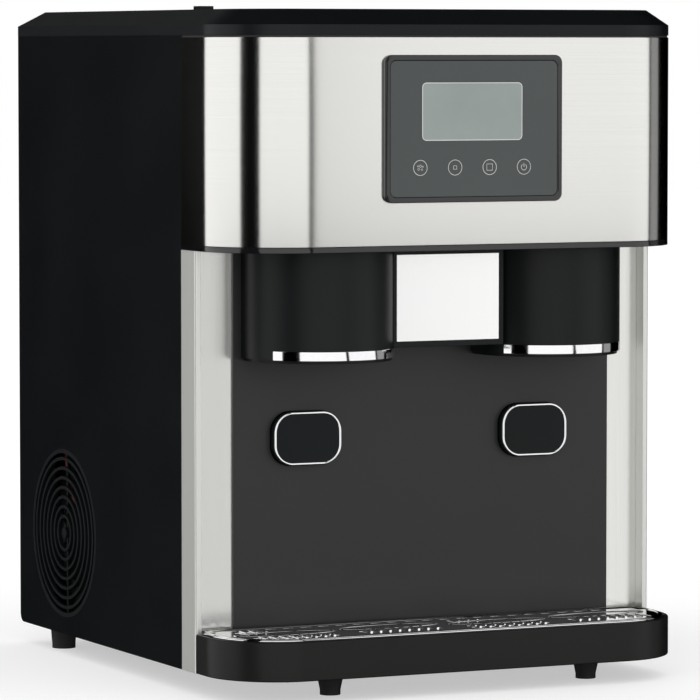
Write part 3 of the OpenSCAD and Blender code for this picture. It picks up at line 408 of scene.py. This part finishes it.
def ring_rows(cx, cz, w, h, r, levels, steps):
    """Vertices of a rounded rectangle drawn at each (inset, y) level, and each ring's indices."""
    vertices = []
    rows = []
    for inset, y in levels:
        ring = round_rect_points(cx, cz, w - 2 * inset, h - 2 * inset, max(r - inset, 0.0001), steps)
        rows.append([len(vertices) + k for k in range(len(ring))])
        vertices += [(x, y, z) for x, z in ring]
    return vertices, rows


def ring_faces(rows, following):
    """Quads between each ring and the one that follows it."""
    n = len(rows[0])
    faces = []
    for a, b in zip(rows, following):
        faces += [(a[k], a[(k + 1) % n], b[(k + 1) % n], b[k]) for k in range(n)]
    return faces


def pad(name, finish, cx, cz, w, h, r, levels, steps=10):
    """A rounded plate facing the front: levels are (inset, y) rings, and both ends are capped."""
    vertices, rows = ring_rows(cx, cz, w, h, r, levels, steps)
    faces = ring_faces(rows, rows[1:])
    faces.append(tuple(rows[0]))
    faces.append(tuple(rows[-1]))
    return make_object(name, vertices, faces, finish)


def frame_ring(name, finish, cx, cz, w, h, r, section, steps=10):
    """A closed ring that follows a rounded rectangle: section is (inset, y) points."""
    vertices, rows = ring_rows(cx, cz, w, h, r, section, steps)
    return make_object(name, vertices, ring_faces(rows, rows[1:] + rows[:1]), finish)


# ------------------------------------------------------------------ studio and camera

def emission(name, strength):
    """White light of the given strength."""
    material = bpy.data.materials.new(name)
    material.use_nodes = True
    tree = material.node_tree
    tree.nodes.clear()
    shader = tree.nodes.new("ShaderNodeEmission")
    shader.inputs["Color"].default_value = (1, 1, 1, 1)
    shader.inputs["Strength"].default_value = strength
    output = tree.nodes.new("ShaderNodeOutputMaterial")
    tree.links.new(shader.outputs["Emission"], output.inputs["Surface"])
    return material


def studio_card(name, start, end, radius, z0, z1, strength):
    """An upright curved light card between two directions, unseen by the camera."""
    steps = max(3, int(abs(end - start) / 4))
    vertices = []
    for i in range(steps + 1):
        a = math.radians(start + (end - start) * i / steps)
        for z in (z0, z1):
            vertices.append((radius * math.cos(a), radius * math.sin(a), z))
    faces = [(2 * i, 2 * i + 2, 2 * i + 3, 2 * i + 1) for i in range(steps)]
    mesh = bpy.data.meshes.new(name)
    mesh.from_pydata(vertices, [], faces)
    mesh.materials.append(emission(name, strength))
    obj = add_object(name, mesh)
    obj.visible_camera = False
    obj.visible_shadow = False


CARD_RADIUS = 6.0
CARD_LOW = -1.6
CARD_TOP = 5.0
# Directions, in degrees from +X, and strengths of the light cards round the object
CARDS = [(124, 192, 1.12), (219, 287, 1.1), (291.5, 340, 1.06), (344, 362, 0.3)]
for number, (start, end, strength) in enumerate(CARDS):
    studio_card(f"card_{number}", start, end, CARD_RADIUS, CARD_LOW, CARD_TOP, strength)
# A dimmer one high behind the object, which the cover's left chamfer shows
studio_card("card_high", 58, 108, CARD_RADIUS, 2.2, CARD_TOP, 0.1)

# White floor that glows a little, so that only the contact shadows show on it. The gloss doesn't
# see it: a polished face would otherwise show floor instead of the cards.
floor_mesh = bpy.data.meshes.new("floor")
FLOOR = 9.0
floor_mesh.from_pydata([(-FLOOR, -FLOOR, 0), (FLOOR, -FLOOR, 0), (FLOOR, FLOOR, 0), (-FLOOR, FLOOR, 0)],
                       [], [(0, 1, 2, 3)])
floor_material, floor_shader = new_material("floor")
floor_shader.inputs["Base Color"].default_value = (0.58, 0.58, 0.58, 1)
floor_shader.inputs["Roughness"].default_value = 0.9
floor_shader.inputs["Specular IOR Level"].default_value = 0.0
floor_shader.inputs["Emission Color"].default_value = (1, 1, 1, 1)
floor_shader.inputs["Emission Strength"].default_value = 0.5
floor_mesh.materials.append(floor_material)
floor = add_object("floor", floor_mesh)
floor.visible_glossy = False

# The surround lights rough surfaces evenly and shows white behind the object, but the gloss
# reflects only the cards and the object itself
world = bpy.data.worlds.new("studio")
world.use_nodes = True
world.node_tree.nodes["Background"].inputs["Color"].default_value = (1, 1, 1, 1)
world.node_tree.nodes["Background"].inputs["Strength"].default_value = 1.0
bpy.context.scene.world = world
world.cycles_visibility.glossy = False

scene = bpy.context.scene
scene.view_settings.view_transform = "Standard"
scene.view_settings.look = "None"

# The photograph's view: a long lens, a little above the object and to its left
camera_data = bpy.data.cameras.new("camera")
camera_data.sensor_width = 36
camera_data.lens = 240.26
camera_data.clip_end = 50
camera = bpy.data.objects.new("camera", camera_data)
scene.collection.objects.link(camera)
scene.camera = camera
CAMERA_FROM_EDGE = Vector((-1.3316, -2.7232, 0.4091))
YAW = math.radians(25.299)
PITCH = math.radians(3.679)
camera.location = CAMERA_FROM_EDGE + Vector((0, edge_y, 0))
camera.rotation_euler = (math.pi / 2 - PITCH, 0, -YAW)

# ------------------------------------------------------------------ head, display and touch keys

EASE_FROM = math.radians(8)              # the wrap's bend runs out over its last degrees
EASE_EXTRA = 14 * MM                     # how much further than its arc the bend runs
EASE_STEPS = 12


def eased_path(half, radius, front, rear, steps=36):
    """The head's plan, whose round corners run out gently into the flat front."""
    left = [(-half, rear)]
    for i in range(steps + 1):
        a = math.pi + i * (math.pi / 2 - EASE_FROM) / steps
        left.append((radius - half + radius * math.cos(a), front + radius + radius * math.sin(a)))
    x, y = left[-1]
    run = y - front
    span = 2 * run / math.tan(EASE_FROM) + EASE_EXTRA
    for i in range(1, EASE_STEPS + 1):
        t = i / EASE_STEPS
        left.append((x + span * t, front + run * (1 - t) ** (span * math.tan(EASE_FROM) / run)))
    return left + [(-px, py) for px, py in reversed(left)]


WRAP_SHEET = 0.8 * MM
WRAP_ROUNDING = 0.35 * MM
wrap_section = rounded_section(0, WRAP_SHEET, wrap_lo.z, wrap_hi.z, WRAP_ROUNDING)
head_wrap = bow_wall("head_wrap", "brushed_steel", wrap_section, half_w, HEAD_R, front_y, edge_y,
                     eased_path)
piece(head_wrap, "cabinet", "brushed_steel", "head_steel_wrap")

film_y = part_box("control_glass")[0].y    # front face of the control film
lcd_lo, lcd_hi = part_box("lcd_window")
lcd_x, lcd_z = (lcd_lo.x + lcd_hi.x) / 2, (lcd_lo.z + lcd_hi.z) / 2
lcd_w, lcd_h = lcd_hi.x - lcd_lo.x, lcd_hi.z - lcd_lo.z
LCD_R = 3 * MM
PRINT = 0.04 * MM                        # thickness of printed lines on the film


def printed_ring(name, cx, cz, w, h, r, line):
    """A flat printed line that follows a rounded rectangle on the control film."""
    return frame_ring(name, "print_white", cx, cz, w, h, r,
                      [(0, film_y - 2 * PRINT), (line, film_y - 2 * PRINT), (line, film_y), (0, film_y)])


lcd_face = pad("lcd_face", "lcd", lcd_x, lcd_z, lcd_w, lcd_h, LCD_R,
               [(0, film_y + 0.2 * MM), (0, film_y - PRINT)])
piece(lcd_face, "cabinet", "lcd", "lcd_window")
lcd_outline = printed_ring("lcd_outline", lcd_x, lcd_z, lcd_w, lcd_h, LCD_R, 0.42 * MM)
piece(lcd_outline, "cabinet", "print_white")

keys_lo, keys_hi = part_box("touch_key_marks")
key_z = (keys_lo.z + keys_hi.z) / 2
KEY_D = keys_hi.z - keys_lo.z
key_xs = [keys_lo.x + KEY_D / 2 + i * (keys_hi.x - keys_lo.x - KEY_D) / 3 for i in range(4)]


FLATTEN = 0.15                           # thickness of a printed stroke as a share of a round one


def flat_stroke(name, points, width, closed=False):
    """A printed line of the given width through (x, z) points on the film."""
    curve = bpy.data.curves.new(name, "CURVE")
    curve.dimensions = "3D"
    add_spline(curve, [(x, film_y - PRINT, z) for x, z in points], closed)
    curve.bevel_depth = width / 2
    curve.bevel_resolution = 1
    mesh = curve_mesh(name, curve, "print_white")
    for vertex in mesh.vertices:
        vertex.co.y = film_y + (vertex.co.y - film_y) * FLATTEN
    return add_object(name, mesh)


def arc_points(cx, cz, r, start, end, steps=20):
    """Points along an arc between two angles in degrees."""
    angles = [math.radians(start + (end - start) * i / steps) for i in range(steps + 1)]
    return [(cx + r * math.cos(a), cz + r * math.sin(a)) for a in angles]


def box_points(cx, cz, size):
    """Corners of a square of half width size."""
    return [(cx - size, cz - size), (cx + size, cz - size),
            (cx + size, cz + size), (cx - size, cz + size)]


def join(name, objects):
    """One object of all the meshes, which replaces them."""
    bm = bmesh.new()
    for obj in objects:
        bm.from_mesh(obj.data)
    mesh = objects[0].data.copy()
    bm.to_mesh(mesh)
    bm.free()
    result = add_object(name, mesh)
    for obj in objects:
        bpy.data.objects.remove(obj)
    return result


LINE = 0.32 * MM
FINE_LINE = 0.25 * MM
key_r = KEY_D / 2 - LINE
marks = [flat_stroke("mark", arc_points(x, key_z, key_r, 0, 360, 40)[:-1], LINE, True)
         for x in key_xs]
crushed, small, large, power = key_xs
# Pieces of crushed ice, as (x, z, size) in millimetres from the key's middle
CRUSHED = [(-1.2, -0.9, 0.8), (1.1, -1.1, 0.6), (0.1, 1.1, 0.9), (1.7, 0.7, 0.45), (-1.6, 1.0, 0.5)]
for dx, dz, size in CRUSHED:
    diamond = arc_points(crushed + dx * MM, key_z + dz * MM, size * MM, 0, 360, 4)[:-1]
    marks.append(flat_stroke("mark", diamond, FINE_LINE, True))
marks.append(flat_stroke("mark", box_points(small, key_z, 1.1 * MM), LINE, True))
marks.append(flat_stroke("mark", box_points(large, key_z, 2.0 * MM), LINE, True))
marks.append(flat_stroke("mark", arc_points(power, key_z - 0.2 * MM, 1.9 * MM, 125, 415), LINE))
marks.append(flat_stroke("mark", [(power, key_z - 0.2 * MM), (power, key_z + 2.3 * MM)], LINE))
key_marks = join("key_marks", marks)
piece(key_marks, "cabinet", "print_white", "touch_key_marks")

# ------------------------------------------------------------------ push pads

PAD_R = 13 * MM
for side, body in (("ice", "ice_paddle"), ("water", "water_paddle")):
    lo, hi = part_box(f"{side}_paddle_trim")
    cx, cz = (lo.x + hi.x) / 2, (lo.z + hi.z) / 2
    w, h = hi.x - lo.x, hi.z - lo.z
    rim = [(0.0, hi.y), (0.0, lo.y + 0.4 * MM), (0.12 * MM, lo.y + 0.12 * MM), (0.4 * MM, lo.y),
           (1.1 * MM, lo.y), (1.38 * MM, lo.y + 0.12 * MM), (1.5 * MM, lo.y + 0.4 * MM),
           (1.5 * MM, hi.y)]
    trim = frame_ring(f"{side}_pad_trim", "chrome", cx, cz, w, h, PAD_R, rim, 16)
    piece(trim, body, "chrome", f"{side}_paddle_trim")

# ------------------------------------------------------------------ drip grid

grid_lo, grid_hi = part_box("drip_grid")
GRID_EDGE = 0.55 * MM                    # rounding of the plate's edges
GRID_R = 45.1 * MM                       # plan radius of its front corners
grid_half = grid_hi.x
FIELDS = 4
FIELD_PITCH = 75 * MM
field_xs = [(i - (FIELDS - 1) / 2) * FIELD_PITCH for i in range(FIELDS)]
FIELD_A = 35 * MM                        # half length of an oval field
SLOT_PITCH = 6.7 * MM
SLOT_W = 4.2 * MM
DASH_PITCH = 12.4 * MM


def rounded_slot(cx, cy, w, d, r=0.8 * MM, steps=3):
    """Closed outline of a slot with rounded corners, as (x, y) points."""
    return round_rect_points(cx, cy, w, d, min(r, w / 2.02, d / 2.02), steps)


def grid_openings():
    """Dashes along the back, and in each oval field rows of slots that bend round a smooth lens."""
    slots = []
    for i in range(-11, 12):
        slots.append(rounded_slot(i * DASH_PITCH, grid_hi.y - 6.4 * MM, 9 * MM, 3.6 * MM))
    for number, fx in enumerate(field_xs):
        places = [(fx + k * SLOT_PITCH, math.sqrt(1 - (k / 5.2) ** 2)) for k in range(-4, 5)]
        if number % 2:
            # One row of long slots, arched towards the back in the middle of the field
            slots += [rounded_slot(x, grid_lo.y + (17 + 6 * lens) * MM, SLOT_W, (6 + 8 * lens) * MM)
                      for x, lens in places]
        else:
            # Two rows of short slots near the front, and long ones behind the field's left end
            for row in (0, 7):
                slots += [rounded_slot(x, grid_lo.y + (17.5 + row - 6 * lens) * MM, SLOT_W, 4.6 * MM)
                          for x, lens in places]
            slots += [rounded_slot(x, grid_lo.y + 47 * MM, SLOT_W, 10 * MM) for x, lens in places[:4]]
    return slots


def curve_plate(name, finish, outlines, z, thickness, edge):
    """A flat plate with holes and rounded edges, from closed (x, y) outlines."""
    curve = bpy.data.curves.new(name, "CURVE")
    curve.dimensions = "2D"
    curve.fill_mode = "BOTH"
    curve.extrude = thickness / 2 - edge
    curve.bevel_depth = edge
    curve.bevel_resolution = 2
    for outline in outlines:
        add_spline(curve, [(x, y, 0) for x, y in outline], True)
    mesh = curve_mesh(name, curve, finish)
    mesh.transform(Matrix.Translation((0, 0, z)))
    smooth_faces(mesh, 35)
    return add_object(name, mesh)


# The grid is narrower at the back, between the steel side channels
NECK_X = 4.3 * MM
NECK_Y = 9.0 * MM


def grid_path(inset):
    """Outline of the grid, drawn in by the inset."""
    wide = bow_path(grid_half - inset, GRID_R - inset, grid_lo.y + inset,
                    grid_hi.y - NECK_Y - inset, 20)
    neck = grid_half - NECK_X - inset
    rear = grid_hi.y - inset
    return wide + [(neck, wide[-1][1]), (neck, rear), (-neck, rear), (-neck, wide[0][1])]


outline = grid_path(GRID_EDGE)
grid_plate = curve_plate("grid_plate", "chrome", [outline] + grid_openings(),
                         (grid_lo.z + grid_hi.z) / 2, grid_hi.z - grid_lo.z, GRID_EDGE)
piece(grid_plate, "drip_grid", "chrome", "drip_grid")


def tube(name, finish, points, radius, cyclic=False, smooth_curve=False):
    """A round rod through 3-D points, or one that rounds them off."""
    curve = bpy.data.curves.new(name, "CURVE")
    curve.dimensions = "3D"
    curve.bevel_depth = radius
    curve.bevel_resolution = 3
    curve.use_fill_caps = True
    add_spline(curve, points, cyclic, "NURBS" if smooth_curve else "POLY")
    mesh = curve_mesh(name, curve, finish)
    for polygon in mesh.polygons:
        polygon.use_smooth = True
    return add_object(name, mesh)


ridge_z = grid_hi.z - 0.2 * MM
ridges = []
for number, fx in enumerate(field_xs):
    # The lens: an oval bead round the smooth middle of the field
    lens_y = grid_lo.y + (40 if number % 2 else 35) * MM
    for grow, r in ((1.0, 0.7 * MM), (0.72, 0.45 * MM)):
        ring = [(fx + FIELD_A * grow * math.cos(a), lens_y + 8.5 * MM * grow * math.sin(a), ridge_z)
                for a in (2 * math.pi * i / 72 for i in range(72))]
        ridges.append(tube("ridge", "chrome", ring, r, True))
# A small round rib between neighbouring slots of a row, which catches the light
for first, second in zip(grid_openings(), grid_openings()[1:]):
    (ax, ay), (bx, by) = [(sum(p[0] for p in slot) / len(slot), sum(p[1] for p in slot) / len(slot))
                          for slot in (first, second)]
    length = min(max(p[1] for p in slot) - min(p[1] for p in slot) for slot in (first, second)) / 2
    if abs(abs(bx - ax) - SLOT_PITCH) < 0.1 * MM and abs(by - ay) < 4 * MM:
        x = (ax + bx) / 2
        y = (ay + by) / 2
        ends = [(x, y - length, ridge_z + 0.2 * MM), (x, y + length, ridge_z + 0.2 * MM)]
        ridges.append(tube("rib", "chrome", ends, 0.9 * MM))
border = [(x, y, ridge_z) for x, y in grid_path(2.2 * MM)]
ridges.append(tube("ridge", "chrome", border, 0.8 * MM, True))
grid_ridges = join("grid_ridges", ridges)
piece(grid_ridges, "drip_grid", "chrome")

# ------------------------------------------------------------------ fan, wires and springs

fan_lo, fan_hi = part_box("fan_impeller")
FAN = Vector(((fan_lo.x + fan_hi.x) / 2, (fan_lo.y + fan_hi.y) / 2, (fan_lo.z + fan_hi.z) / 2))
FAN_R = 43 * MM
HUB_R = 15 * MM
fan_x0 = fan_lo.x + 0.5 * MM


def fan_blade(number, count):
    """A swept, twisted blade with a rounded tip, as a closed thin solid."""
    rows = 9
    columns = 7
    base = 2 * math.pi * number / count
    front_points = []
    back_points = []
    for i in range(rows):
        t = i / (rows - 1)
        r = HUB_R * 0.96 + (FAN_R - HUB_R) * t
        twist = math.radians(48 - 20 * t)
        chord = (17 + 13 * math.sin(math.pi * min(t, 0.72) / 1.44)) * MM
        sweep = 0.28 * t
        for j in range(columns):
            u = j / (columns - 1) - 0.5
            round_off = 1 - (0.25 * abs(u) * 2 if t > 0.95 else 0)
            a = base + sweep + u * chord * math.cos(twist) / r * round_off
            x = 7 * MM + u * chord * math.sin(twist) * 0.55 + 1.2 * MM * (1 - 4 * u * u)
            rr = r * (1 - 0.05 * t * 4 * u * u)
            centre = Vector((fan_x0 + x, FAN.y + rr * math.cos(a), FAN.z + rr * math.sin(a)))
            front_points.append(centre - Vector((0.5 * MM, 0, 0)))
            back_points.append(centre + Vector((0.5 * MM, 0, 0)))
    n = rows * columns
    faces = []
    for i in range(rows - 1):
        for j in range(columns - 1):
            a = i * columns + j
            faces.append((a, a + 1, a + columns + 1, a + columns))
            faces.append((n + a, n + a + columns, n + a + columns + 1, n + a + 1))
    rim = ([j for j in range(columns)] + [i * columns + columns - 1 for i in range(1, rows)]
           + [(rows - 1) * columns + j for j in range(columns - 2, -1, -1)]
           + [i * columns for i in range(rows - 2, 0, -1)])
    for k, a in enumerate(rim):
        b = rim[(k + 1) % len(rim)]
        faces.append((a, n + a, n + b, b))
    return make_object("blade", front_points + back_points, faces, "fan_black")


SHAFT_HOLE = 2.1 * MM
hub = lathe("hub", "fan_black", [
    (SHAFT_HOLE, 0.5 * MM), (HUB_R - 3 * MM, 0.0), (HUB_R - 1 * MM, 0.6 * MM), (HUB_R, 2.4 * MM),
    (HUB_R, 14 * MM), (SHAFT_HOLE, 14 * MM), (SHAFT_HOLE, 0.5 * MM)],
    (fan_x0, FAN.y, FAN.z), steps=48)
BLADES = 7
fan_wheel = join("fan_wheel", [hub] + [fan_blade(i, BLADES) for i in range(BLADES)])
piece(fan_wheel, "fan", "fan_black", "fan_impeller")

# Two wires that run down behind the left grille, past the fan
wire_x = (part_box("vent_grille_left")[1].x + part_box("fan_shroud")[0].x) / 2 - 1 * MM
WIRE_R = 0.9 * MM


def wire(name, finish, steps):
    """A wire through places given in millimetres from the gap's middle and the fan's axis."""
    points = [(wire_x + x * MM, FAN.y + y * MM, FAN.z + z * MM) for x, y, z in steps]
    return tube(name, finish, points, WIRE_R, smooth_curve=True)


red_wire = wire("red_wire", "red_wire", [
    (0, 26, 58), (0, 20, 40), (-1.5, 6, 22), (0, -8, 12), (0, -30, -4), (0, -52, -10)])
piece(red_wire, "cabinet", "rubber")
dark_wire = wire("dark_wire", "rubber", [
    (2.2, 30, 58), (2, 24, 38), (2, 12, 18), (2, -6, 8), (2, -28, -9), (2, -52, -15)])
piece(dark_wire, "cabinet", "rubber")

# Return springs, coiled round each pad's stem between its flange and its switch
SPRING_R = 4.6 * MM
SPRING_WIRE = 0.45 * MM
SPRING_TURNS = 5
TURN_STEPS = 20
FLANGE_DEPTH = 7.6 * MM                  # from the pad's rearmost point to the back of its flange
switch_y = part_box("micro_switches")[0].y
for side in ("ice", "water"):
    lo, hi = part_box(f"{side}_paddle")
    cx, cz = (lo.x + hi.x) / 2, (lo.z + hi.z) / 2
    y0 = hi.y - FLANGE_DEPTH + SPRING_WIRE
    y1 = switch_y - SPRING_WIRE
    coil = []
    for i in range(SPRING_TURNS * TURN_STEPS + 1):
        a = 2 * math.pi * i / TURN_STEPS
        t = i / (SPRING_TURNS * TURN_STEPS)
        coil.append((cx + SPRING_R * math.cos(a), y0 + (y1 - y0) * t, cz + SPRING_R * math.sin(a)))
    spring = tube(f"{side}_pad_spring", "spring_steel", coil, SPRING_WIRE)
    if side == "ice":
        piece(spring, "cabinet", "spring_steel", "paddle_springs")
    else:
        piece(spring, "cabinet", "spring_steel")
    length = y1 - y0 + 2 * SPRING_WIRE
    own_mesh(spring)
